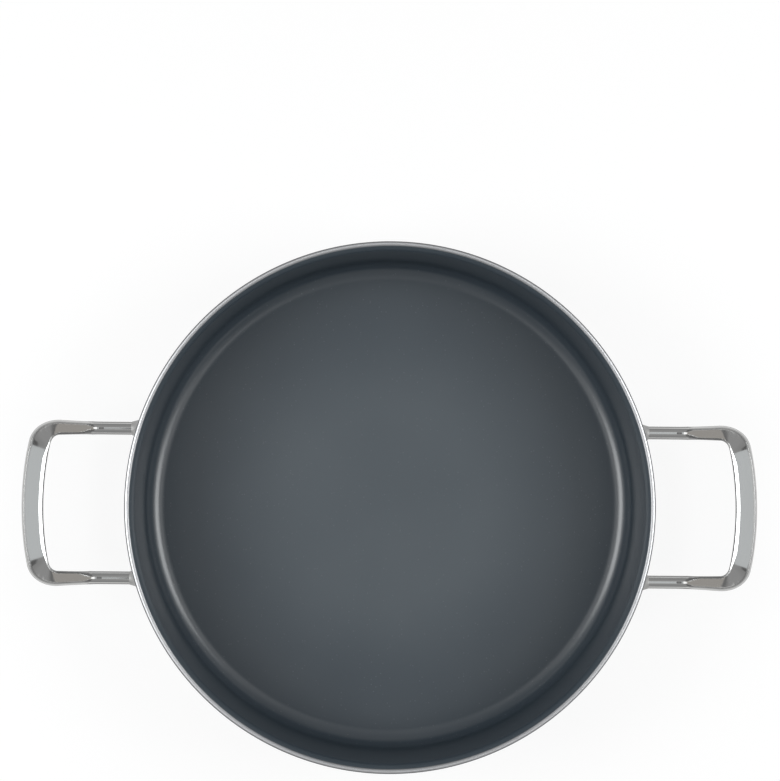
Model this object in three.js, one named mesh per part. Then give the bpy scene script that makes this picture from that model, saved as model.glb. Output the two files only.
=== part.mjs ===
// A 28 cm saute pan: a three-ply pressed body with a ceramic non-stick lining, and two side handles.
// Each handle is one steel rod, flattened at the grip and welded to the wall on two saddle feet.
// Millimetres, +Z up. The origin is the centre of the base, on the surface that the pan stands on.
import * as THREE from "three";

// Pan body, measured on the lining
const INNER_DIAMETER = 280; // inside the straight wall, the size that the pan is sold by
const INNER_DEPTH = 66; // from the cooking surface to the top of the rim
const CORNER_RADIUS = 10; // between the floor and the wall
const LIP_RADIUS = 10; // bend of the pouring lip
const LIP_ANGLE = THREE.MathUtils.degToRad(38); // how far the lip leans out from the wall

// Layers, from the food outwards
const LINING_THICKNESS = 0.2;
const INNER_PLY_THICKNESS = 0.5;
const CORE_THICKNESS = 1.9;
const OUTER_PLY_THICKNESS = 0.6;
const BOND_GAP = 0.02; // between two bonded layers

// Handles
const OVERALL_LENGTH = 404; // from the outside of one grip to the outside of the other
const LEG_SPACING = 83; // between the middles of a handle's two legs
const ROD_DIAMETER = 7.1;
const GRIP_WIDTH = 11.6;
const GRIP_THICKNESS = 4.6;
const GRIP_SHOULDER = 2.4; // width of the rounded edge on each side of the flat grip
const GRIP_BOW_RADIUS = 180; // the grip bulges outwards along this arc
const HANDLE_CORNER_RADIUS = 10.5; // of the rod's middle line, between leg and grip
const LEG_DROP = 22; // from the top of the rim down to the level stretch of the legs
const LEVEL_REACH = 22; // how far the legs run level, measured from the wall on the pan's middle line
const RISE_ANGLE = THREE.MathUtils.degToRad(22); // of the legs beyond the level stretch
const RISE_BEND_RADIUS = 14;

// Feet
const FOOT_WIDTH = 15;
const FOOT_HEIGHT = 21;
const FOOT_EDGE = 1.3; // thickness of the saddle at its rim
const FOOT_LENGTH = 6.6; // from the wall to the end that the rod is welded on
const COLLAR_DIAMETER = 9; // of that end
const WELD_GAP = 0.2; // between the wall, a foot and a rod

// Faceting
const TURN_SEGMENTS = 64;
const CORNER_STEPS = 5;
const LIP_STEPS = 3;
const RIM_STEPS = 3;
const SHOULDER_STEPS = 3;
const FOOT_POINTS = 16;
const FOOT_FLARE_STEPS = 4;
const FLAT_LEAST = 0.3; // a round rod keeps a flat this narrow, so that every section has as many points

// The layers as distances out from the cooking surface
const innerPlyStart = LINING_THICKNESS + BOND_GAP;
const innerPlyEnd = innerPlyStart + INNER_PLY_THICKNESS;
const coreStart = innerPlyEnd + BOND_GAP;
const coreEnd = coreStart + CORE_THICKNESS;
const outerPlyStart = coreEnd + BOND_GAP;
const wallThickness = outerPlyStart + OUTER_PLY_THICKNESS;
const metalThickness = wallThickness - innerPlyStart;
const metalMiddle = innerPlyStart + metalThickness / 2;

// Heights and radii that follow
const innerRadius = INNER_DIAMETER / 2;
const outerWallRadius = innerRadius + wallThickness;
const floorHeight = wallThickness;
const rimHeight = floorHeight + INNER_DEPTH;
const lipCentreRadius = innerRadius + LIP_RADIUS;
const lipStartHeight =
  rimHeight - metalThickness / 2 - (LIP_RADIUS - metalMiddle) * Math.sin(LIP_ANGLE);

// Where the lip ends, at a distance out from the cooking surface
function lipPoint(distance, angle) {
  const radius = LIP_RADIUS - distance;
  return new THREE.Vector2(
    lipCentreRadius - radius * Math.cos(angle),
    lipStartHeight + radius * Math.sin(angle),
  );
}

// The line of the pan at a distance out from the cooking surface: floor, corner, wall and lip
function panLine(distance) {
  const cornerMiddle = new THREE.Vector2(innerRadius - CORNER_RADIUS, floorHeight + CORNER_RADIUS);
  const cornerRadius = CORNER_RADIUS + distance;
  const line = [new THREE.Vector2(0, floorHeight - distance)];
  for (let i = 0; i <= CORNER_STEPS; i++) {
    const angle = (Math.PI / 2) * (i / CORNER_STEPS);
    const point = new THREE.Vector2(Math.sin(angle), -Math.cos(angle));
    line.push(point.multiplyScalar(cornerRadius).add(cornerMiddle));
  }
  for (let i = 0; i <= LIP_STEPS; i++) line.push(lipPoint(distance, (LIP_ANGLE * i) / LIP_STEPS));
  return line;
}

// The polished end of the metal is a full round across the three plies
function rimPoint(distance) {
  const along = new THREE.Vector2(Math.sin(LIP_ANGLE), Math.cos(LIP_ANGLE));
  const half = metalThickness / 2;
  const offset = distance - metalMiddle;
  const height = Math.sqrt(Math.max(0, half * half - offset * offset));
  return lipPoint(distance, LIP_ANGLE).add(along.multiplyScalar(height));
}

// One layer of the pan, revolved between two distances out from the cooking surface
function layerGeometry(from, to, rounded) {
  const outside = panLine(to);
  const inside = panLine(from).reverse();
  const rim = [];
  if (rounded) {
    const firstStep = to < wallThickness ? 0 : 1;
    const lastStep = from > innerPlyStart ? RIM_STEPS : RIM_STEPS - 1;
    for (let i = firstStep; i <= lastStep; i++) {
      rim.push(rimPoint(THREE.MathUtils.lerp(to, from, i / RIM_STEPS)));
    }
  }
  return new THREE.LatheGeometry([...outside, ...rim, ...inside], TURN_SEGMENTS).rotateX(Math.PI / 2);
}

// A closed skin over a row of sections, each a ring of as many points, capped flat at both ends
function loftGeometry(rings) {
  const count = rings[0].length;
  const positions = rings.flat().flatMap((point) => point.toArray());
  const faces = [];
  for (let ring = 0; ring + 1 < rings.length; ring++) {
    for (let i = 0; i < count; i++) {
      const next = (i + 1) % count;
      const [a, b] = [ring * count + i, ring * count + next];
      faces.push(a, b, b + count, a, b + count, a + count);
    }
  }
  for (const [ring, turned] of [[rings[0], true], [rings[rings.length - 1], false]]) {
    const start = turned ? 0 : (rings.length - 1) * count;
    const middle = positions.length / 3;
    const centre = ring.reduce((sum, point) => sum.add(point), new THREE.Vector3());
    positions.push(...centre.divideScalar(count).toArray());
    for (let i = 0; i < count; i++) {
      const [a, b] = [start + i, start + ((i + 1) % count)];
      faces.push(middle, ...(turned ? [b, a] : [a, b]));
    }
  }
  const geometry = new THREE.BufferGeometry();
  geometry.setAttribute("position", new THREE.Float32BufferAttribute(positions, 3));
  geometry.setIndex(faces);
  geometry.computeVertexNormals();
  return geometry;
}

// Handle layout, on the +X side of the pan
const legSide = LEG_SPACING / 2;
const legHeight = rimHeight - LEG_DROP;
const bendStart = outerWallRadius + LEVEL_REACH;
const bendTangent = RISE_BEND_RADIUS * Math.tan(RISE_ANGLE / 2);
const wallAtLeg = Math.sqrt(outerWallRadius ** 2 - legSide ** 2);
const collarFace = wallAtLeg + WELD_GAP + FOOT_LENGTH;
const gripRoll = RISE_ANGLE; // turns the flattened face level again, though the legs slope
const gripMiddle = OVERALL_LENGTH / 2 - GRIP_WIDTH / 2;
const bowCentre = gripMiddle - GRIP_BOW_RADIUS;
const cornerSide = legSide - HANDLE_CORNER_RADIUS;
const cornerReach =
  bowCentre + Math.sqrt((GRIP_BOW_RADIUS - HANDLE_CORNER_RADIUS) ** 2 - cornerSide ** 2);
const bowAngle = Math.atan2(cornerSide, cornerReach - bowCentre);

// Height of the rod's middle line over its level stretch, and its slope there, at a distance from the axis
function riseAt(x) {
  const fromStart = x - (bendStart - bendTangent);
  if (fromStart <= 0) return { height: 0, slope: 0 };
  if (fromStart >= RISE_BEND_RADIUS * Math.sin(RISE_ANGLE)) {
    return { height: Math.tan(RISE_ANGLE) * (x - bendStart), slope: RISE_ANGLE };
  }
  const slope = Math.asin(fromStart / RISE_BEND_RADIUS);
  return { height: RISE_BEND_RADIUS * (1 - Math.cos(slope)), slope };
}

// Plan of half a handle, from a foot to the middle of the grip.
// How flat and how wide the rod is pressed goes from 0 on the round rod to 1 on the grip.
function halfPlan() {
  const plan = [];
  const bendEnd = bendStart - bendTangent + RISE_BEND_RADIUS * Math.sin(RISE_ANGLE);
  const levelEnd = bendStart - bendTangent;
  const legPoint = (x) => {
    const share = THREE.MathUtils.clamp((x - levelEnd) / (cornerReach - levelEnd), 0, 1);
    plan.push({ x, y: -legSide, heading: 0, flat: 0.5 * share, wide: 0.25 * share * share });
  };
  legPoint(collarFace + WELD_GAP);
  const bendSteps = 4;
  for (let i = 0; i <= bendSteps; i++) legPoint(THREE.MathUtils.lerp(levelEnd, bendEnd, i / bendSteps));
  const slopeSteps = 3;
  for (let i = 1; i < slopeSteps; i++) legPoint(THREE.MathUtils.lerp(bendEnd, cornerReach, i / slopeSteps));
  const cornerSteps = 7;
  for (let i = 0; i <= cornerSteps; i++) {
    const share = i / cornerSteps;
    const heading = share * (Math.PI / 2 - bowAngle);
    plan.push({
      x: cornerReach + HANDLE_CORNER_RADIUS * Math.sin(heading),
      y: -cornerSide - HANDLE_CORNER_RADIUS * Math.cos(heading),
      heading,
      flat: 0.5 + 0.5 * THREE.MathUtils.smoothstep(share, 0, 1),
      wide: 0.25 + 0.75 * THREE.MathUtils.smoothstep(share, 0, 1),
    });
  }
  const bowSteps = 4;
  for (let i = 1; i <= bowSteps; i++) {
    const angle = -bowAngle * (1 - i / bowSteps);
    plan.push({
      x: bowCentre + GRIP_BOW_RADIUS * Math.cos(angle),
      y: GRIP_BOW_RADIUS * Math.sin(angle),
      heading: Math.PI / 2 + angle,
      flat: 1,
      wide: 1,
    });
  }
  return plan;
}

// The rod's section: flat above and below, with a rounded shoulder on each side
function rodSection(flat, wide) {
  const rod = ROD_DIAMETER / 2;
  const halfWidth = THREE.MathUtils.lerp(rod, GRIP_WIDTH / 2, wide);
  const halfHeight = THREE.MathUtils.lerp(rod, GRIP_THICKNESS / 2, flat);
  const shoulder = THREE.MathUtils.lerp(rod - FLAT_LEAST / 2, GRIP_SHOULDER, flat);
  const section = [];
  for (const side of [1, -1]) {
    for (let i = 0; i <= 2 * SHOULDER_STEPS; i++) {
      const angle = side * (Math.PI / 2) * (1 - i / SHOULDER_STEPS);
      const across = halfWidth - shoulder + shoulder * Math.cos(angle);
      section.push(new THREE.Vector2(side * across, halfHeight * Math.sin(angle)));
    }
  }
  return section;
}

// One section of the handle in its place on the rod's middle line
function handleRing({ x, y, heading, flat, wide }) {
  const { height, slope } = riseAt(x);
  const middle = new THREE.Vector3(x, y, legHeight + height);
  const [ahead, aside] = [Math.cos(heading), Math.sin(heading)];
  const along = new THREE.Vector3(ahead, aside, ahead * Math.tan(slope)).normalize();
  const up = new THREE.Vector3(-Math.sin(slope), 0, Math.cos(slope));
  up.applyAxisAngle(along, gripRoll * flat);
  const out = new THREE.Vector3().crossVectors(along, up);
  return rodSection(flat, wide).map(({ x: across, y: over }) =>
    middle.clone().addScaledVector(out, across).addScaledVector(up, over),
  );
}

function handleGeometry() {
  const half = halfPlan();
  const otherHalf = half
    .slice(0, -1)
    .reverse()
    .map((place) => ({ ...place, y: -place.y, heading: Math.PI - place.heading }));
  return loftGeometry([...half, ...otherHalf].map(handleRing));
}

// A saddle foot: an oval pad that hugs the wall and flares into the round collar that the rod is welded on
function footGeometry(side) {
  const ring = (inset, shrink, square) => {
    const halfWidth = THREE.MathUtils.lerp(FOOT_WIDTH, COLLAR_DIAMETER, shrink) / 2;
    const halfHeight = THREE.MathUtils.lerp(FOOT_HEIGHT, COLLAR_DIAMETER, shrink) / 2;
    const points = [];
    for (let i = 0; i < FOOT_POINTS; i++) {
      const angle = (2 * Math.PI * i) / FOOT_POINTS;
      const y = side * legSide + halfWidth * Math.cos(angle);
      const onWall = Math.sqrt((outerWallRadius + WELD_GAP) ** 2 - y * y) + inset;
      const x = THREE.MathUtils.lerp(onWall, collarFace, square);
      points.push(new THREE.Vector3(x, y, legHeight + halfHeight * Math.sin(angle)));
    }
    return points;
  };
  const rings = [ring(0, 0, 0), ring(FOOT_EDGE, 0, 0)];
  for (let i = 1; i <= FOOT_FLARE_STEPS; i++) {
    const turn = (Math.PI / 2) * (i / FOOT_FLARE_STEPS);
    rings.push(ring(FOOT_EDGE, Math.sin(turn), 1 - Math.cos(turn)));
  }
  return loftGeometry(rings);
}

// Finishes
const polishedSteel = new THREE.MeshStandardMaterial({ color: 0xc3c6ca, roughness: 0.16, metalness: 1 });
const satinSteel = new THREE.MeshStandardMaterial({ color: 0xb4b7bb, roughness: 0.32, metalness: 1 });
const bareAluminium = new THREE.MeshStandardMaterial({ color: 0xd0d2d4, roughness: 0.4, metalness: 1 });
const ceramicLining = new THREE.MeshStandardMaterial({ color: 0x474d53, roughness: 0.42, metalness: 0 });

function named(name, geometry, material) {
  const mesh = new THREE.Mesh(geometry, material);
  mesh.name = name;
  return mesh;
}

function buildBody() {
  const body = new THREE.Group();
  body.add(
    named("ceramic_lining", layerGeometry(0, LINING_THICKNESS, false), ceramicLining),
    named("inner_steel_ply", layerGeometry(innerPlyStart, innerPlyEnd, true), satinSteel),
    named("aluminium_core", layerGeometry(coreStart, coreEnd, true), bareAluminium),
    named("outer_steel_ply", layerGeometry(outerPlyStart, wallThickness, true), polishedSteel),
  );
  return body;
}

// A handle and its two feet on the +X side, turned about the pan's axis to the side that is asked for
function buildHandle(sideName, turn) {
  const handle = new THREE.Group();
  const feet = turn === 0 ? { front: -1, rear: 1 } : { front: 1, rear: -1 };
  handle.add(named(`${sideName}_handle`, handleGeometry(), polishedSteel));
  for (const [place, side] of Object.entries(feet)) {
    handle.add(named(`${sideName}_${place}_foot`, footGeometry(side), polishedSteel));
  }
  handle.rotation.z = turn;
  return handle;
}

const pan = new THREE.Group();
pan.add(buildBody(), buildHandle("right", 0), buildHandle("left", Math.PI));

export default pan;
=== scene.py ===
import bmesh
import bpy
import math
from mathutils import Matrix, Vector


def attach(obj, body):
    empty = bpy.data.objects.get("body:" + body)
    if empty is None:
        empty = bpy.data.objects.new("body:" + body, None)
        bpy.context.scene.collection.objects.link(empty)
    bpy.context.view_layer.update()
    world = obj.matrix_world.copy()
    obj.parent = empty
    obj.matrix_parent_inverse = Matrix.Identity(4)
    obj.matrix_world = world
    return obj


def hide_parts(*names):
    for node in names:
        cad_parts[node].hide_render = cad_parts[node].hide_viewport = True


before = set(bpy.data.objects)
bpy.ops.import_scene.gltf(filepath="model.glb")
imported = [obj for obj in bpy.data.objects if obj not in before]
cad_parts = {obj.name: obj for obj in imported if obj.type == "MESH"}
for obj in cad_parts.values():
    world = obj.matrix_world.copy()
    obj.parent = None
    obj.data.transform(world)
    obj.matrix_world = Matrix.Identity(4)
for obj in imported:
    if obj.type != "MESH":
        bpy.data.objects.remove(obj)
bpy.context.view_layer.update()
print("frame loaded:", len(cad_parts), "nodes")


class Wire:
    # one socket in a node tree; sums written on it become Math nodes
    def __init__(self, tree, socket=None):
        self.tree = tree
        self.socket = socket

    def node(self, kind, settings=None, inputs=None, output=0):
        made = self.tree.nodes.new(kind)
        for name, value in (settings or {}).items():
            if name == "cases":
                while len(made.index_switch_items) < value:
                    made.index_switch_items.new()
            else:
                setattr(made, name, value)
        for name, value in (inputs or {}).items():
            for one in value if isinstance(value, list) else [value]:
                if isinstance(one, Wire):
                    self.tree.links.new(one.socket, made.inputs[name])
                else:
                    made.inputs[name].default_value = one
        return Wire(self.tree, made.outputs[output] if len(made.outputs) else None)

    def other(self, output):
        return Wire(self.tree, self.socket.node.outputs[output])

    def maths(self, operation, *others):
        return self.node("ShaderNodeMath", {"operation": operation}, dict(enumerate((self, *others))))

    def between(self, low, high):
        return self.node(
            "ShaderNodeMapRange", {"interpolation_type": "SMOOTHSTEP"},
            {"Value": self, "From Min": low, "From Max": high, "To Min": 0.0, "To Max": 1.0},
        )

    def colours(self, first, second):
        return self.node("ShaderNodeMix", {"data_type": "RGBA"}, {0: self, 6: first, 7: second}, 2)

    def __add__(self, other):
        return self.maths("ADD", other)

    def __sub__(self, other):
        return self.maths("SUBTRACT", other)

    def __rsub__(self, other):
        return self.node("ShaderNodeMath", {"operation": "SUBTRACT"}, {0: other, 1: self})

    def __mul__(self, other):
        return self.maths("MULTIPLY", other)

    def __truediv__(self, other):
        return self.maths("DIVIDE", other)

    __radd__ = __add__
    __rmul__ = __mul__


def startMaterial(name):
    material = bpy.data.materials.new(name)
    material.use_nodes = True
    material.node_tree.nodes.clear()
    return material, Wire(material.node_tree)


def endMaterial(wire, inputs):
    shader = wire.node("ShaderNodeBsdfPrincipled", {}, inputs)
    wire.node("ShaderNodeOutputMaterial", {}, {"Surface": shader})


def noise(wire, place, scale, detail):
    return wire.node("ShaderNodeTexNoise", {}, {"Vector": place, "Scale": scale, "Detail": detail})


def bump(wire, height, distance, strength):
    return wire.node("ShaderNodeBump", {}, {"Height": height, "Distance": distance, "Strength": strength})


# a noise as an even swing about nothing
def swing(noiseWire, amount):
    return (noiseWire - 0.5) * amount


def panPlace(wire):
    place = wire.node("ShaderNodeTexCoord", output="Object")
    apart = wire.node("ShaderNodeSeparateXYZ", {}, {"Vector": place})
    x, y, height = apart, apart.other("Y"), apart.other("Z")
    radius = (x * x + y * y).maths("SQRT")
    return place, x, y, height, radius


# fine lines that run round the pan's axis, on its wall and on its base alike
def turnedLines(wire, fine, along):
    place, x, y, height, radius = panPlace(wire)
    across = wire.node("ShaderNodeCombineXYZ", {}, {
        "X": radius * fine + x * along, "Y": height * fine + y * along, "Z": (x - y) * along,
    })
    return noise(wire, across, 1.0, 3.0), place, height


# pairs are where a change starts and ends; painted light makes the middle of the floor paler, painted shade
# leaves the wall darker than the lining below it, and a painted highlight makes the lip paler
liningLook = dict(
    deepSlate=(0.031, 0.0435, 0.0565, 1), paleSlate=(0.066, 0.081, 0.0935, 1), fleck=(0.11, 0.13, 0.145, 1),
    roughness=0.32, shine=0.75, coat=0.3, coatRoughness=0.2,
    cloudScale=14.0, peelScale=900.0, gritScale=4200.0, fleckScale=750.0,
    fleckChance=(0.9, 0.97), fleckSize=(0.34, 0.2), fleckStrength=0.5,
    paintedLightRadius=(0.108, 0.052), paintedFloorLight=0.6, paintedWallShadeHeight=(0.018, 0.006), paintedWallShade=0.13,
    paintedLipHighlightHeight=(0.0655, 0.0668), paintedLipHighlight=0.55, cloudPale=0.3,
    cloudRoughness=0.08, gritRoughness=0.1, gritBump=0.35, bumpDepth=0.00002, bumpStrength=0.12,
)


def liningMaterial():
    look = liningLook
    material, wire = startMaterial("ceramicLining")
    place, *_, height, radius = panPlace(wire)
    cloud = noise(wire, place, look["cloudScale"], 4.0)
    peel = noise(wire, place, look["peelScale"], 2.0)
    grit = noise(wire, place, look["gritScale"], 1.0)
    cells = wire.node("ShaderNodeTexVoronoi", {}, {"Vector": place, "Scale": look["fleckScale"]})
    chance = wire.node("ShaderNodeSeparateColor", {}, {"Color": cells.other("Color")})
    flecks = chance.between(*look["fleckChance"]) * cells.between(*look["fleckSize"])
    # painted light in the middle of the floor, painted shade on the wall above the floor, and a painted
    # highlight on the lip; the cloud is random tone
    middle = radius.between(*look["paintedLightRadius"]) * look["paintedFloorLight"]
    low = height.between(*look["paintedWallShadeHeight"]) * look["paintedWallShade"]
    lip = height.between(*look["paintedLipHighlightHeight"]) * look["paintedLipHighlight"]
    paintedLightShadeAndCloud = middle + low + lip + swing(cloud, look["cloudPale"])
    slate = paintedLightShadeAndCloud.maths("MAXIMUM", 0.0).colours(look["deepSlate"], look["paleSlate"])
    uneven = swing(cloud, look["cloudRoughness"]) + swing(grit, look["gritRoughness"])
    endMaterial(wire, {
        "Base Color": (flecks * look["fleckStrength"]).colours(slate, look["fleck"]),
        "Roughness": look["roughness"] + uneven,
        "Normal": bump(wire, peel + grit * look["gritBump"], look["bumpDepth"], look["bumpStrength"]),
        "Specular IOR Level": look["shine"],
        "Coat Weight": look["coat"],
        "Coat Roughness": look["coatRoughness"],
    })
    return material


# the base is turned, the wall is polished
steelLook = dict(
    bright=(0.6, 0.605, 0.61, 1), grey=(0.42, 0.425, 0.435, 1), wall=0.24, base=0.34,
    baseHeight=(0.006, 0.0006), lineScale=2600.0, lineDrift=7.0, hazeScale=30.0, lineGrey=0.7, baseGrey=0.25,
    lineRoughness=0.08, hazeRoughness=0.04, wallBump=0.25, bumpDepth=0.000008, bumpStrength=0.25,
)


def outsideMaterial():
    look = steelLook
    material, wire = startMaterial("polishedOutside")
    lines, place, height = turnedLines(wire, look["lineScale"], look["lineDrift"])
    under = height.between(*look["baseHeight"])
    haze = noise(wire, place, look["hazeScale"], 3.0)
    grey = lines * look["lineGrey"] + under * look["baseGrey"]
    uneven = swing(lines, look["lineRoughness"]) + swing(haze, look["hazeRoughness"])
    endMaterial(wire, {
        "Base Color": grey.colours(look["bright"], look["grey"]),
        "Metallic": 1.0,
        "Roughness": look["wall"] + under * (look["base"] - look["wall"]) + uneven,
        "Normal": bump(wire, lines * (look["wallBump"] + under), look["bumpDepth"], look["bumpStrength"]),
    })
    return material


# the cut edges at the rim, with painted shade below its crest: dark on the core's edge, none on the steel's
edgeLook = dict(
    crest=(0.0692, 0.0688), lineScale=5200.0, lineDrift=11.0, lineRoughness=0.14, bumpDepth=0.00001,
)
plyEdges = dict(
    steelEdge=dict(
        bright=(0.46, 0.465, 0.475, 1), grey=(0.36, 0.365, 0.375, 1), paintedEdgeShade=(0.36, 0.365, 0.375, 1),
        roughness=0.48, groove=0.12,
    ),
    coreEdge=dict(
        bright=(0.66, 0.665, 0.68, 1), grey=(0.56, 0.565, 0.58, 1), paintedEdgeShade=(0.13, 0.132, 0.138, 1),
        roughness=0.46, groove=0.2,
    ),
)


def plyEdgeMaterial(name):
    look = plyEdges[name]
    material, wire = startMaterial(name)
    lines, _, height = turnedLines(wire, edgeLook["lineScale"], edgeLook["lineDrift"])
    # painted shade on the rim's edge below its crest
    edgeShade = height.between(*edgeLook["crest"])
    endMaterial(wire, {
        "Base Color": edgeShade.colours(lines.colours(look["bright"], look["grey"]), look["paintedEdgeShade"]),
        "Metallic": 1.0,
        "Roughness": look["roughness"] + swing(lines, edgeLook["lineRoughness"]),
        "Normal": bump(wire, lines, edgeLook["bumpDepth"], look["groove"]),
    })
    return material


# painted shade makes the rod darker and rougher on its underside, in its creases and beside some edges; lines
# run along the rod
rodLook = dict(
    bright=(0.62, 0.62, 0.615, 1), grey=(0.52, 0.52, 0.515, 1), under=(0.36, 0.36, 0.357, 1),
    edgeTint=(0.3, 0.3, 0.3, 1), polish=0.055, underRoughness=0.24, underFrom=0.1, underTo=0.9,
    lineScale=(24.0, 5200.0, 1.0), hazeScale=70.0, lineGrey=0.4, hazeGrey=0.2, hazeUnder=0.2,
    unevenness=0.03, bumpDepth=0.000004, bumpStrength=0.025,
)


def rodMaterial():
    look = rodLook
    material, wire = startMaterial("polishedRod")
    place = wire.node("ShaderNodeTexCoord", output="Object")
    along = wire.node("ShaderNodeUVMap", {"uv_map": "rod"})
    drawn = wire.node("ShaderNodeMapping", {}, {"Vector": along, "Scale": look["lineScale"]})
    lines = noise(wire, drawn, 1.0, 3.0)
    haze = noise(wire, place, look["hazeScale"], 3.0)
    dull = wire.node("ShaderNodeAttribute", {"attribute_name": "dull"}, output="Fac")
    # painted shade: darker and rougher where the per-point shade attribute is high
    under = (dull + swing(haze, look["hazeUnder"])).between(look["underFrom"], look["underTo"])
    steel = (lines * look["lineGrey"] + haze * look["hazeGrey"]).colours(look["bright"], look["grey"])
    uneven = swing(lines, look["unevenness"]) + swing(haze, look["unevenness"])
    endMaterial(wire, {
        "Base Color": under.colours(steel, look["under"]),
        "Metallic": 1.0,
        "Roughness": look["polish"] + under * (look["underRoughness"] - look["polish"]) + uneven,
        "Normal": bump(wire, lines, look["bumpDepth"], look["bumpStrength"]),
        "Specular Tint": look["edgeTint"],
    })
    return material


footLook = dict(
    bright=(0.42, 0.42, 0.415, 1), grey=(0.34, 0.34, 0.335, 1), roughness=0.5,
    hazeScale=160.0, grainScale=2600.0, hazeRoughness=0.1, grainRoughness=0.06,
    bumpDepth=0.00001, bumpStrength=0.1,
)


def footMaterial():
    look = footLook
    material, wire = startMaterial("weldedFoot")
    place = wire.node("ShaderNodeTexCoord", output="Object")
    haze = noise(wire, place, look["hazeScale"], 3.0)
    grain = noise(wire, place, look["grainScale"], 2.0)
    uneven = swing(haze, look["hazeRoughness"]) + swing(grain, look["grainRoughness"])
    endMaterial(wire, {
        "Base Color": haze.colours(look["bright"], look["grey"]),
        "Metallic": 1.0,
        "Roughness": look["roughness"] + uneven,
        "Normal": bump(wire, grain, look["bumpDepth"], look["bumpStrength"]),
    })
    return material


finishes = dict(
    lining=liningMaterial(),
    outside=outsideMaterial(),
    steelEdge=plyEdgeMaterial("steelEdge"),
    coreEdge=plyEdgeMaterial("coreEdge"),
    rod=rodMaterial(),
    foot=footMaterial(),
)
print("finishes:", ", ".join(finishes))

# sizes in metres; a layer's ends are distances out from the cooking surface
panSizes = {
    "Inside Radius": 0.14, "Floor Height": 0.00326, "Rim Height": 0.06926, "Corner Radius": 0.01,
    "Lip Radius": 0.01, "Lip Angle": math.radians(38), "Metal From": 0.00022, "Metal To": 0.00326,
    "Turn Steps": 256, "Bend Steps": 14,
}
panLayers = [
    dict(name="ceramicLining", node="ceramic_lining", slot="ceramic_lining", finish="lining",
         ends=(0.0, 0.0002)),
    dict(name="innerSteelPly", node="inner_steel_ply", slot="satin_steel", finish="steelEdge",
         ends=(0.00022, 0.00072)),
    dict(name="aluminiumCore", node="aluminium_core", slot="aluminium", finish="coreEdge",
         ends=(0.00074, 0.00264)),
    dict(name="outerSteelPly", node="outer_steel_ply", slot="polished_steel", finish="outside",
         ends=(0.00266, 0.00326)),
]
lipFill = 0.999  # the lip's bend stops just short of its end
seamWithin = 0.00001
doublesWithin = 0.000002
sharpAngles = dict(layer=40, handle=50, foot=60)


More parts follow.
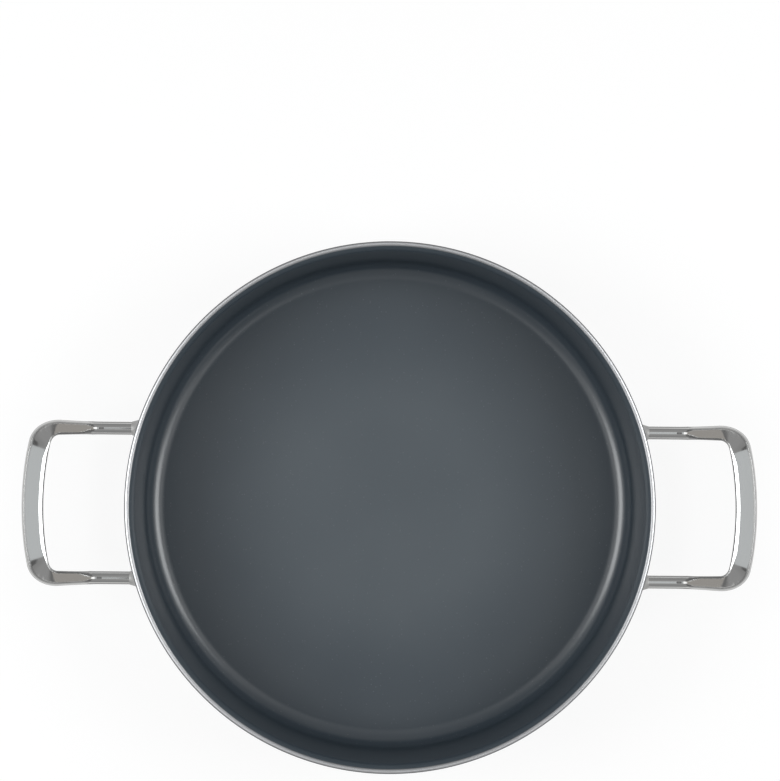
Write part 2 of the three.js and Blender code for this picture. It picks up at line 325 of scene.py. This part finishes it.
# one layer of the pan: its line at two distances, closed at the rim and turned about the axis
def panLayerTree():
    tree = bpy.data.node_groups.new("panLayer", "GeometryNodeTree")
    kinds = [(name, "Int" if name.endswith("Steps") else "Float") for name in panSizes]
    kinds += [("From", "Float"), ("To", "Float"), ("Rounded", "Bool"), ("Finish", "Material")]
    for name, kind in kinds:
        tree.interface.new_socket(name, in_out="INPUT", socket_type="NodeSocket" + kind)
    tree.interface.new_socket("Layer", in_out="OUTPUT", socket_type="NodeSocketGeometry")
    wire = Wire(tree)
    given = tree.nodes.new("NodeGroupInput")
    size = {socket.name: Wire(tree, socket) for socket in given.outputs if socket.name}
    sine = size["Lip Angle"].maths("SINE")
    cosine = size["Lip Angle"].maths("COSINE")
    metalHalf = (size["Metal To"] - size["Metal From"]) / 2
    metalMiddle = (size["Metal To"] + size["Metal From"]) / 2
    lipStart = size["Rim Height"] - metalHalf - (size["Lip Radius"] - metalMiddle) * sine

    def point(x, y):
        return wire.node("ShaderNodeCombineXYZ", {}, {"X": x, "Y": y})

    def lipPoint(distance):
        reach = size["Lip Radius"] - distance
        return point(size["Inside Radius"] + size["Lip Radius"] - reach * cosine, lipStart + reach * sine)

    def panLine(distance):
        reach = size["Lip Radius"] - distance
        wall = size["Inside Radius"] + distance
        low = size["Floor Height"] - distance
        bendHeight = lipStart + reach * (size["Lip Angle"] / 2).maths("TANGENT")
        index = wire.node("GeometryNodeInputIndex")
        corners = wire.node("GeometryNodeIndexSwitch", {"data_type": "VECTOR", "cases": 4}, {
            "Index": index, "0": point(0.0, low), "1": point(wall, low), "2": point(wall, bendHeight),
            "3": lipPoint(distance),
        })
        bends = wire.node("GeometryNodeIndexSwitch", {"data_type": "FLOAT", "cases": 4}, {
            "Index": index, "1": size["Corner Radius"] + distance, "2": reach * lipFill,
        })
        line = wire.node("GeometryNodeMeshLine", {}, {"Count": 4})
        line = wire.node("GeometryNodeSetPosition", {}, {"Geometry": line, "Position": corners})
        line = wire.node("GeometryNodeMeshToCurve", {}, {"Mesh": line})
        return wire.node(
            "GeometryNodeFilletCurve", {"mode": "POLY"},
            {"Curve": line, "Count": size["Bend Steps"], "Radius": bends},
        )

    # the cut end is part of one round over all three plies
    outer = ((size["To"] - metalMiddle) / metalHalf).maths("ARCCOSINE")
    inner = ((size["From"] - metalMiddle) / metalHalf).maths("ARCCOSINE")
    rounded = wire.node("GeometryNodeCurveArc", {"mode": "RADIUS"}, {
        "Resolution": size["Bend Steps"], "Radius": metalHalf,
        "Start Angle": outer - size["Lip Angle"], "Sweep Angle": inner - outer,
    })
    rounded = wire.node("GeometryNodeTransform", {}, {
        "Geometry": rounded, "Translation": lipPoint(metalMiddle),
    })
    plain = wire.node(
        "GeometryNodeCurvePrimitiveLine", {}, {"Start": lipPoint(size["To"]), "End": lipPoint(size["From"])}
    )
    rim = wire.node("GeometryNodeSwitch", {"input_type": "GEOMETRY"}, {
        "Switch": size["Rounded"], "False": plain, "True": rounded,
    })
    lines = [panLine(size["To"]), rim, panLine(size["From"])]
    edges = [wire.node("GeometryNodeCurveToMesh", {}, {"Curve": line}) for line in lines]
    outline = wire.node("GeometryNodeJoinGeometry", {}, {"Geometry": edges})
    outline = wire.node("GeometryNodeMergeByDistance", {}, {"Geometry": outline, "Distance": seamWithin})
    outline = wire.node("GeometryNodeMeshToCurve", {}, {"Mesh": outline})
    half = size["Inside Radius"] / 2
    outline = wire.node("GeometryNodeTransform", {}, {
        "Geometry": outline, "Translation": point(half * -1, 0.0), "Scale": (1, -1, 1),
    })
    turn = wire.node("GeometryNodeCurvePrimitiveCircle", {"mode": "RADIUS"}, {
        "Resolution": size["Turn Steps"], "Radius": half,
    })
    skin = wire.node("GeometryNodeCurveToMesh", {}, {"Curve": turn, "Profile Curve": outline})
    skin = wire.node("GeometryNodeMergeByDistance", {}, {"Geometry": skin, "Distance": seamWithin})
    skin = wire.node("GeometryNodeSetShadeSmooth", {}, {"Geometry": skin})
    skin = wire.node("GeometryNodeRealizeInstances", {}, {"Geometry": skin})
    skin = wire.node("GeometryNodeSetMaterial", {}, {"Geometry": skin, "Material": size["Finish"]})
    wire.node("NodeGroupOutput", {}, {"Layer": skin})
    return tree


def closeMesh(mesh, sharp):
    work = bmesh.new()
    work.from_mesh(mesh)
    bmesh.ops.remove_doubles(work, verts=work.verts, dist=doublesWithin)
    bmesh.ops.recalc_face_normals(work, faces=work.faces)
    for face in work.faces:
        face.smooth = True
    work.to_mesh(mesh)
    work.free()
    mesh.set_sharp_from_angle(angle=math.radians(sharp))


def settle(piece, node):
    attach(piece, "root")
    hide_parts(node)


def buildLayer(tree, layer):
    piece = bpy.data.objects.new(layer["name"], bpy.data.meshes.new(layer["name"]))
    bpy.context.collection.objects.link(piece)
    values = dict(panSizes)
    values["From"], values["To"] = layer["ends"]
    values["Rounded"] = layer["finish"] != "lining"
    values["Finish"] = finishes[layer["finish"]]
    modifier = piece.modifiers.new("panLayer", "NODES")
    modifier.node_group = tree
    for item in tree.interface.items_tree:
        if item.in_out == "INPUT":
            modifier[item.identifier] = values[item.name]
    made = bpy.data.meshes.new_from_object(piece.evaluated_get(bpy.context.evaluated_depsgraph_get()))
    piece.modifiers.clear()
    piece.data = made
    closeMesh(made, sharpAngles["layer"])
    settle(piece, layer["node"])
    return piece


layerTree = panLayerTree()
for layer in panLayers:
    made = buildLayer(layerTree, layer)
    print("layer:", made.name, len(made.data.polygons), "faces", [round(v, 4) for v in made.dimensions])

# a press is how far beyond the level stretch it starts, and over what length it goes on
handleSizes = dict(
    reach=0.202, legSide=0.0415, rod=0.00355, gripHalfWidth=0.0058, bowRadius=0.18, cornerRadius=0.0105,
    legHeight=0.04726, bendStart=0.163, riseAngle=math.radians(19.0), bendRadius=0.024,
    wallRadius=panSizes["Inside Radius"] + panSizes["Metal To"], footLength=0.0068, weldGap=0.00002,
    outerPress=(0.0066, 0.0045), innerPress=(0.0058, 0.009), underPress=(0.003, 0.018),
    leastFlat=0.04, legFlat=0.94, cornerWide=0.25, cornerLevel=0.25, bowLevel=0.85, levelRun=0.25,
    bendSteps=24, slopeSteps=36, cornerSteps=32, bowSteps=32,
)
# the flattened bar: a level face, a slanted facet along its outer edge,
# and on the grip another along its inner edge; extra points keep each facet flat up to its creases
barSizes = dict(
    halfHeight=0.0023, edge=0.00014, legFacet=0.0018, gripFacet=0.0013, facetSlope=0.97, outerRound=0.0009,
    lean=0.00045, lowRound=0.0018, legShoulder=0.0008, gripShoulder=0.0019, shoulderSlope=0.62,
    legInner=0.0009, cornerInner=0.0003, gripInner=0.0012, roundSteps=6, facetPoints=(0.05, 0.28, 0.85, 0.95),
)
# shares of full painted shade, and degrees away from straight up
paintedShadeLook = dict(underFrom=46, underRun=14, creaseAt=30, creaseRun=16, creaseShade=0.4, edge=0.85, flatRate=3)
# rim: how far out through the edge, and how far it has narrowed by there
footSizes = dict(
    halfWidth=0.0075, halfHeight=0.0105, edge=0.0018, sweep=0.6, bead=0.0002, wallGap=0.00003,
    rim=((0.0, 0.02), (0.2, 0.0), (0.6, 0.0), (0.82, 0.015), (0.95, 0.05), (1.0, 0.1)),
    points=56, flareSteps=16,
)
wallAtLeg = math.sqrt(handleSizes["wallRadius"] ** 2 - handleSizes["legSide"] ** 2)
collarFace = wallAtLeg + handleSizes["footLength"]


def blendTo(start, end, share):
    return start + (end - start) * share


def clamped(share):
    return min(1.0, max(0.0, share))


def eased(share):
    return share * share * (3 - 2 * share)


# where the leg's level stretch ends
def levelStretchEnd():
    s = handleSizes
    return s["bendStart"] - s["bendRadius"] * math.tan(s["riseAngle"] / 2)


# height and slope of the rod's middle line at a distance from the pan's axis
def riseAt(x):
    s = handleSizes
    past = x - levelStretchEnd()
    if past <= 0:
        return 0.0, 0.0
    if past >= s["bendRadius"] * math.sin(s["riseAngle"]):
        return math.tan(s["riseAngle"]) * (x - s["bendStart"]), s["riseAngle"]
    slope = math.asin(past / s["bendRadius"])
    return s["bendRadius"] * (1 - math.cos(slope)), slope


# plan of half a handle from its foot to the middle of the grip:
# x, y, heading, how far pressed flat on its outer, inner and lower sides, how wide, how level
def halfPlan():
    s = handleSizes
    bowCentre = s["reach"] - s["gripHalfWidth"] - s["bowRadius"]
    cornerSide = s["legSide"] - s["cornerRadius"]
    cornerReach = bowCentre + math.sqrt((s["bowRadius"] - s["cornerRadius"]) ** 2 - cornerSide ** 2)
    bowAngle = math.atan2(cornerSide, cornerReach - bowCentre)
    levelEnd = levelStretchEnd()
    bendEnd = levelEnd + s["bendRadius"] * math.sin(s["riseAngle"])
    stops = [collarFace + s["weldGap"], blendTo(collarFace, levelEnd, 0.5)]
    stops += [blendTo(levelEnd, bendEnd, i / s["bendSteps"]) for i in range(s["bendSteps"] + 1)]
    stops += [blendTo(bendEnd, cornerReach, i / s["slopeSteps"]) for i in range(1, s["slopeSteps"])]
    plan = []
    for x in stops:
        share = clamped((x - levelEnd) / (cornerReach - levelEnd))
        pressed = []
        for start, run in (s["outerPress"], s["innerPress"], s["underPress"]):
            done = eased(clamped((x - levelEnd - start) / run))
            pressed.append(blendTo(s["leastFlat"], s["legFlat"], done))
        wide = s["cornerWide"] * share * share
        plan.append((x, -s["legSide"], 0.0, pressed, wide, s["cornerLevel"] * share))
    for i in range(s["cornerSteps"] + 1):
        share = i / s["cornerSteps"]
        heading = share * (math.pi / 2 - bowAngle)
        x = cornerReach + s["cornerRadius"] * math.sin(heading)
        y = -cornerSide - s["cornerRadius"] * math.cos(heading)
        flat = blendTo(s["legFlat"], 1.0, eased(clamped(share * 3)))
        level = blendTo(s["cornerLevel"], s["bowLevel"], share)
        wide = blendTo(s["cornerWide"], 1.0, eased(share))
        plan.append((x, y, heading, [flat] * 3, wide, level))
    for i in range(1, s["bowSteps"] + 1):
        angle = -bowAngle * (1 - i / s["bowSteps"])
        x = bowCentre + s["bowRadius"] * math.cos(angle)
        level = blendTo(1.0, s["bowLevel"], (1 - clamped(i / s["bowSteps"] / s["levelRun"])) ** 3)
        plan.append((x, s["bowRadius"] * math.sin(angle), math.pi / 2 + angle, [1.0] * 3, 1.0, level))
    return plan


# painted shade of a point at a share of the way across a facet, from that of its two edges
def facetPaintedShade(facing, share, edge, ahead):
    inward = facing - math.pi / 2
    if abs(inward) < 0.01:  # the level face has painted shade only beside its outer edge
        return ahead if share > 0.9 else 0.0
    return edge if inward > 0 or share < 0.5 else 0.0


# outline of the flattened bar, clockwise from its top outer edge: across, up, the way it faces, how much
# painted shade
def barOutline(halfWidth, level):
    b = barSizes
    top = b["halfHeight"]
    grip = clamped(1 - ((1 - level) / (1 - handleSizes["bowLevel"])) ** (1 / 3))
    facet = blendTo(b["legFacet"], b["gripFacet"], grip)
    crisp = clamped(level / handleSizes["cornerLevel"]) ** 2
    inner = blendTo(blendTo(b["legInner"], b["cornerInner"], crisp), b["gripInner"], grip)
    shoulder = blendTo(b["legShoulder"], b["gripShoulder"], grip)
    corners = [
        (halfWidth - facet, top, b["edge"]), (halfWidth, top - facet * b["facetSlope"], b["outerRound"]),
        (halfWidth - b["lean"], -top, b["lowRound"]), (-halfWidth, -top, b["lowRound"]),
        (-halfWidth, top - shoulder * b["shoulderSlope"], inner), (shoulder - halfWidth, top, b["edge"]),
    ]
    edgePaintedShade = [1.0, 0.0, 0.0, 0.0, 1 - grip, 1 - grip]
    facings = []
    for i, (x, y, _) in enumerate(corners):
        facings.append(math.atan2(x - corners[i - 1][0], corners[i - 1][1] - y))
    arcs = []
    for i, (x, y, rounding) in enumerate(corners):
        start, end = facings[i], facings[(i + 1) % len(corners)]
        if end > start:
            end -= 2 * math.pi
        pull = rounding / (1 + math.cos(start - end))
        middleX = x - pull * (math.cos(start) + math.cos(end))
        middleY = y - pull * (math.sin(start) + math.sin(end))
        arc = []
        for k in range(b["roundSteps"] + 1):
            turn = blendTo(start, end, k / b["roundSteps"])
            spot = (middleX + rounding * math.cos(turn), middleY + rounding * math.sin(turn))
            arc.append((*spot, turn, edgePaintedShade[i]))
        arcs.append(arc)
    outline = []
    for arc, following in zip(arcs, arcs[1:] + arcs[:1]):
        outline += arc
        (x0, y0, facing, edge), (x1, y1, _, ahead) = arc[-1], following[0]
        for share in b["facetPoints"]:
            dull = facetPaintedShade(facing, share, edge, ahead)
            outline.append((blendTo(x0, x1, share), blendTo(y0, y1, share), facing, dull))
    return outline


# painted shade where the rod faces down, along its creases, and beside marked edges
def paintedShadeAt(facing, edge, flat):
    d = paintedShadeLook
    turn = (math.degrees(facing) - 90) % 360
    off = min(turn, 360 - turn)
    under = eased(clamped((off - d["underFrom"]) / d["underRun"]))
    creaseShade = eased(clamped(1 - abs(off - d["creaseAt"]) / d["creaseRun"])) * (1 - flat)
    return max(under, d["creaseShade"] * creaseShade, d["edge"] * clamped(flat * d["flatRate"]) * edge)


# the round rod pressed towards the bar: across, up and how much painted shade
# its top runs on, because it is pressed from below
def rodSection(pressed, wide, level):
    rod = handleSizes["rod"]
    outer, inner, under = pressed
    halfWidth = rod + (handleSizes["gripHalfWidth"] - rod) * min(1.0, wide / outer)
    section = []
    for x, y, facing, edge in barOutline(halfWidth, level):
        upper = blendTo(inner, outer, eased(clamped(0.5 + x / halfWidth)))
        press = blendTo(under, upper, eased(clamped(0.5 + math.sin(facing))))
        across = blendTo(rod * math.cos(facing), x, press)
        above = blendTo(rod * math.sin(facing), y + rod - barSizes["halfHeight"], press)
        section.append((across, above, paintedShadeAt(facing, edge, outer)))
    return section


def handleRing(place):
    x, y, heading, pressed, wide, level = place
    height, slope = riseAt(x)
    middle = Vector((x, y, handleSizes["legHeight"] + height))
    along = Vector((math.cos(heading), math.sin(heading), math.cos(heading) * math.tan(slope))).normalized()
    over = Vector((-math.sin(slope), 0, math.cos(slope)))
    aside = along.cross(over)
    roll = handleSizes["riseAngle"] * level  # the grip's face comes out level
    up = over * math.cos(roll) + aside * math.sin(roll)
    out = aside * math.cos(roll) - over * math.sin(roll)
    section = rodSection(pressed, wide, level)
    points = [middle + out * across + up * above for across, above, dull in section]
    return points, [dull for across, above, dull in section]


# a closed skin over rings of as many points, with the way along it and round it as its UV map
def loftMesh(name, rings, turned, shades=()):
    work = bmesh.new()
    uv = work.loops.layers.uv.new("rod")
    dull = work.verts.layers.float.new("dull")
    side = -1 if turned else 1
    rows = [[work.verts.new((side * p.x, side * p.y, p.z)) for p in ring] for ring in rings]
    for row, shade in zip(rows, shades):
        for vert, share in zip(row, shade):
            vert[dull] = share
    count = len(rings[0])
    way = [0.0]
    for before, after in zip(rings, rings[1:]):
        way.append(way[-1] + (sum(after, Vector()) - sum(before, Vector())).length / count)
    for ring in range(len(rows) - 1):
        round0 = 0.0
        for i in range(count):
            j = (i + 1) % count
            round1 = round0 + (rings[ring][j] - rings[ring][i]).length
            face = work.faces.new((rows[ring][i], rows[ring][j], rows[ring + 1][j], rows[ring + 1][i]))
            here, there = way[ring], way[ring + 1]
            spots = ((here, round0), (here, round1), (there, round1), (there, round0))
            for loop, spot in zip(face.loops, spots):
                loop[uv].uv = spot
            round0 = round1
    for row in (rows[0], rows[-1]):
        work.faces.new(row)
    mesh = bpy.data.meshes.new(name)
    work.to_mesh(mesh)
    work.free()
    return mesh


def addPiece(mesh, node, finish, sharp):
    closeMesh(mesh, sharp)
    mesh.materials.append(finishes[finish])
    piece = bpy.data.objects.new(mesh.name, mesh)
    bpy.context.collection.objects.link(piece)
    settle(piece, node)
    return piece


def handleRings():
    half = halfPlan()
    rest = [(x, -y, math.pi - heading, *shape) for x, y, heading, *shape in reversed(half[:-1])]
    return zip(*[handleRing(place) for place in half + rest])


# an oval saddle that hugs the wall and runs out along the rod
def footRings(side):
    f, s = footSizes, handleSizes
    rings = []

    def ring(inset, shrink, square):
        halfWidth = blendTo(f["halfWidth"], s["rod"] + f["bead"], shrink)
        halfHeight = blendTo(f["halfHeight"], s["rod"] + f["bead"], shrink)
        points = []
        for i in range(f["points"]):
            angle = 2 * math.pi * i / f["points"]
            y = side * s["legSide"] + halfWidth * math.cos(angle)
            z = s["legHeight"] + halfHeight * math.sin(angle)
            onWall = math.sqrt((s["wallRadius"] + f["wallGap"]) ** 2 - y * y) + inset
            points.append(Vector((blendTo(onWall, collarFace, square), y, z)))
        rings.append(points)

    for share, shrink in f["rim"]:
        ring(f["edge"] * share, shrink, 0.0)
    narrowed = f["rim"][-1][1]
    for i in range(1, f["flareSteps"] + 1):
        turn = math.pi / 2 * i / f["flareSteps"]
        run = 1 - math.cos(turn)
        ring(f["edge"], blendTo(narrowed, 1.0, blendTo(run, math.sin(turn), f["sweep"])), run)
    return rings


for sideName, turned in (("right", False), ("left", True)):
    rings, shades = handleRings()
    mesh = loftMesh(sideName + "Handle", rings, turned, shades)
    made = addPiece(mesh, sideName + "_handle", "rod", sharpAngles["handle"])
    for place, side in (("Front", 1 if turned else -1), ("Rear", -1 if turned else 1)):
        mesh = loftMesh(sideName + place + "Foot", footRings(side), turned)
        addPiece(mesh, f"{sideName}_{place.lower()}_foot", "foot", sharpAngles["foot"])
    print("handle:", made.name, len(made.data.polygons), "faces")

# studio: white floor, a soft box on the left and one on the right
floorLook = dict(half=60.0, drop=0.0003, white=0.9, shown=0.82)


def buildFloor():
    material, wire = startMaterial("paleFloor")
    rays = wire.node("ShaderNodeLightPath")
    seen = (rays + rays.other("Is Glossy Ray") + rays.other("Is Transmission Ray")).maths("MINIMUM", 1.0)
    white = (floorLook["white"],) * 3 + (1,)
    lit = wire.node("ShaderNodeBsdfDiffuse", {}, {"Color": white})
    shown = wire.node("ShaderNodeEmission", {}, {"Color": (1, 1, 1, 1), "Strength": 1.0})
    mixed = wire.node("ShaderNodeMixShader", {}, {0: seen * floorLook["shown"], 1: lit, 2: shown})
    wire.node("ShaderNodeOutputMaterial", {}, {"Surface": mixed})
    half, low = floorLook["half"], -floorLook["drop"]
    mesh = bpy.data.meshes.new("paleFloor")
    corners = [(-half, -half, low), (half, -half, low), (half, half, low), (-half, half, low)]
    mesh.from_pydata(corners, [], [(0, 1, 2, 3)])
    mesh.materials.append(material)
    floor = bpy.data.objects.new("paleFloor", mesh)
    bpy.context.collection.objects.link(floor)


lightAim = Vector((0, 0, 0.04))
# level is the brightness of a box's face
softBoxes = [
    dict(name="rightBox", at=(0.707, 0.07, 0.747), size=(0.54, 0.5), level=5.8, colour=(0.97, 0.99, 1.0)),
    dict(name="leftBox", at=(-0.707, 0.01, 0.747), size=(0.54, 0.5), level=6.4, colour=(0.97, 0.99, 1.0)),
]


def buildLights():
    for box in softBoxes:
        data = bpy.data.lights.new(box["name"], "AREA")
        data.shape = "RECTANGLE"
        data.size, data.size_y = box["size"]
        data.color = box["colour"]
        data.energy = box["level"] * math.pi * data.size * data.size_y
        light = bpy.data.objects.new(box["name"], data)
        light.location = box["at"]
        aim = lightAim - light.location
        light.rotation_mode = "QUATERNION"
        light.rotation_quaternion = aim.to_track_quat("-Z", "Y")
        light.visible_camera = False
        bpy.context.collection.objects.link(light)


# a grey room with a soft glow overhead and a dim ring round it, and paler along the horizon;
# on each side a cool panel with a bright strip at its ends, then a bright band and a warm one,
# and a paler patch to the front and to the rear
roomLook = dict(
    grey=0.21, dim=0.15, glow=0.32, panel=0.76, band=1.6, warm=0.47, rear=0.4, strip=1.2,
    sideHorizon=1.0, rearHorizon=0.55, middleY=-0.023, ringSquash=0.7, bandSlant=0.45,
    coolTint=(0.95, 0.985, 1.0, 1), warmTint=(1.0, 0.955, 0.9, 1),
)
overhead = (0.3, 0.5)
# where each patch starts and ends: x and y away from the middle, z up, round from overhead
roomPatches = dict(
    dim=dict(round=[(0.24, 0.14)], z=[overhead]),
    glow=dict(round=[(0.13, 0.02)], z=[overhead]),
    panel=dict(x=[(0.13, 0.14), (0.222, 0.215)], y=[(0.24, 0.225)], z=[overhead]),
    strip=dict(x=[(0.122, 0.132), (0.174, 0.166)], y=[(0.225, 0.24), (0.3, 0.24)], z=[overhead]),
    band=dict(x=[(0.222, 0.235), (0.42, 0.41)], slant=[(0.42, 0.39)], z=[overhead]),
    warm=dict(x=[(0.41, 0.43)], y=[(0.45, 0.3)], z=[overhead]),
    rear=dict(x=[(0.4, 0.3)], y=[(0.13, 0.155)], z=[(0.1, 0.4)]),
    sideways=dict(x=[(0.35, 0.75)]),
    sideLow=dict(z=[(0.5, 0.2)]),
    rearLow=dict(z=[(0.28, 0.08)]),
)


def buildRoom():
    look = roomLook
    world = bpy.data.worlds.new("studioRoom")
    world.use_nodes = True
    world.node_tree.nodes.clear()
    wire = Wire(world.node_tree)
    way = wire.node("ShaderNodeTexCoord", output="Generated")
    apart = wire.node("ShaderNodeSeparateXYZ", {}, {"Vector": way})
    x = apart.maths("ABSOLUTE")
    y = (apart.other("Y") - look["middleY"]).maths("ABSOLUTE")
    ways = dict(x=x, y=y, z=apart.other("Z"), slant=y + x * look["bandSlant"])
    ways["round"] = (x * x + y * y * look["ringSquash"]).maths("SQRT")
    share = {}
    for name, sides in roomPatches.items():
        masks = [ways[side].between(*limits) for side, pairs in sides.items() for limits in pairs]
        share[name] = math.prod(masks[1:], start=masks[0])

    def raised(name, amount, ground):
        return share[name] * (look[amount] - look[ground])

    level = look["grey"] + raised("dim", "dim", "grey") + raised("glow", "glow", "dim")
    level = level + raised("rear", "rear", "grey")
    level = share["panel"] * look["panel"] + (1 - share["panel"]) * level
    level = level + raised("band", "band", "grey") + raised("warm", "warm", "grey")
    level = level + raised("strip", "strip", "rear")
    level = level + share["sideways"] * raised("sideLow", "sideHorizon", "grey")
    level = level + (1 - share["sideways"]) * raised("rearLow", "rearHorizon", "grey")
    tint = share["warm"].colours((1, 1, 1, 1), look["warmTint"])
    tint = share["panel"].colours(tint, look["coolTint"])
    back = wire.node("ShaderNodeBackground", {}, {"Color": tint, "Strength": level})
    wire.node("ShaderNodeOutputWorld", {}, {"Surface": back})
    bpy.context.scene.world = world


# almost straight above the pan, aimed a little towards its rear, which puts the pan low in the picture
cameraLook = dict(at=(-0.012, 0.0225, 1.049), turn=(2.36, -0.677, 0.5), lens=82.8)


def buildCamera():
    data = bpy.data.cameras.new("above")
    data.sensor_width = 36
    data.lens = cameraLook["lens"]
    camera = bpy.data.objects.new("above", data)
    camera.location = cameraLook["at"]
    camera.rotation_euler = [math.radians(angle) for angle in cameraLook["turn"]]
    bpy.context.collection.objects.link(camera)
    bpy.context.scene.camera = camera


buildFloor()
buildLights()
buildRoom()
buildCamera()
bpy.context.scene.view_settings.view_transform = "Standard"
print("studio ready")
